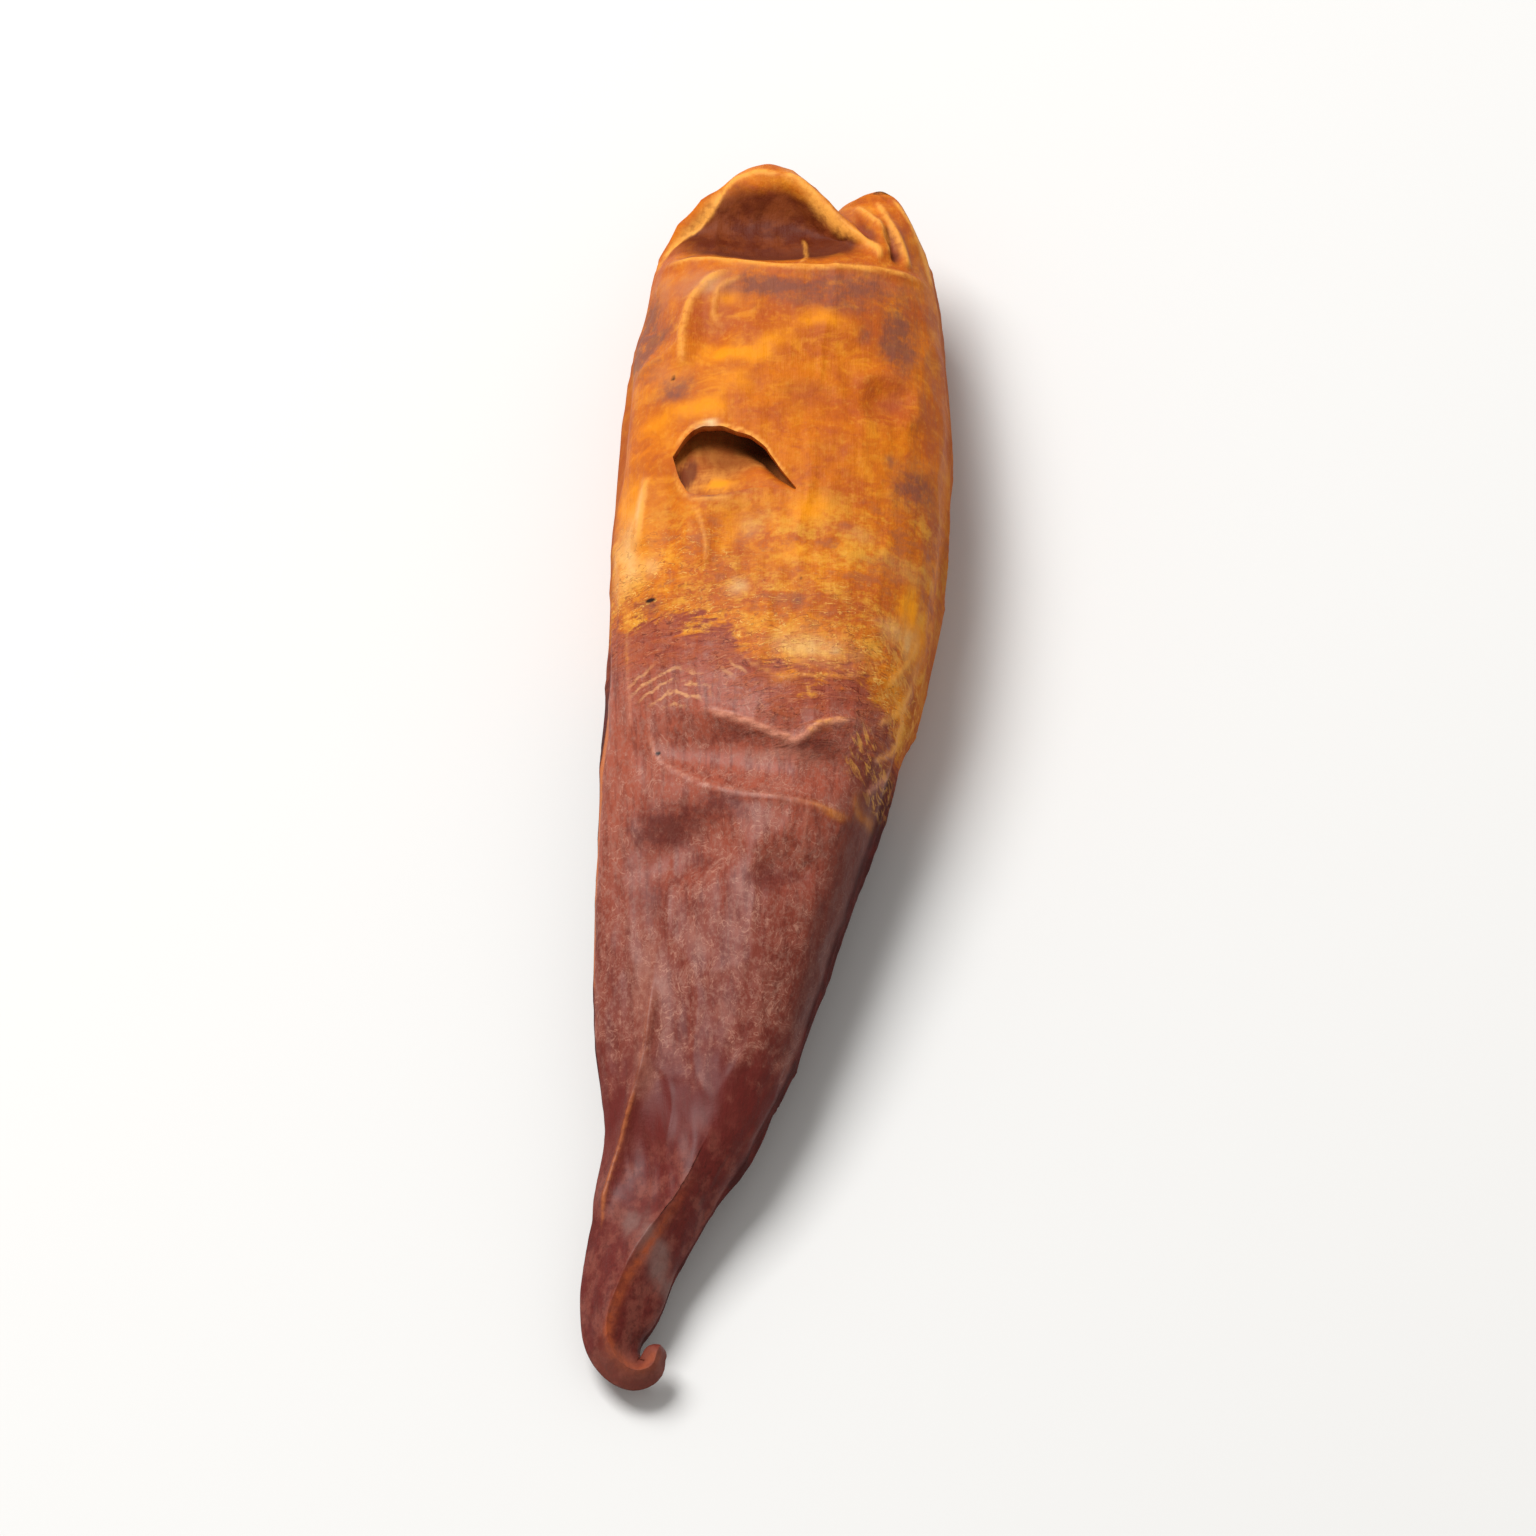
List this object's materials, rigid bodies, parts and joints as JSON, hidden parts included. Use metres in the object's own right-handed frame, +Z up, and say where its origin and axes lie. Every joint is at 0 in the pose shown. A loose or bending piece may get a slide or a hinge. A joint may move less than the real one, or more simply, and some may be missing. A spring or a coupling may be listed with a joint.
{
  "type": "dried chili pepper",
  "caption": "Dried, destemmed chili pod lying on its back: flattened wrinkled skin, puckered shoulder, torn upper face and a hooked tip.",
  "frame": {"origin": "middle of the pod's box, on the surface that it lies on", "axes": "+Y from the hooked tip to the shoulder where the stem was; +Z up, through the upper, torn face; +X to the side that the hook turns to"},
  "size_m": [0.0238, 0.0842, 0.0127],
  "materials": {
    "pod_skin": "waxy, wrinkled dried skin: dark red with an orange shoulder, satin gloss"
  },
  "bodies": {
    "root": {"pod": "pod_skin"}
  },
  "joints": []
}
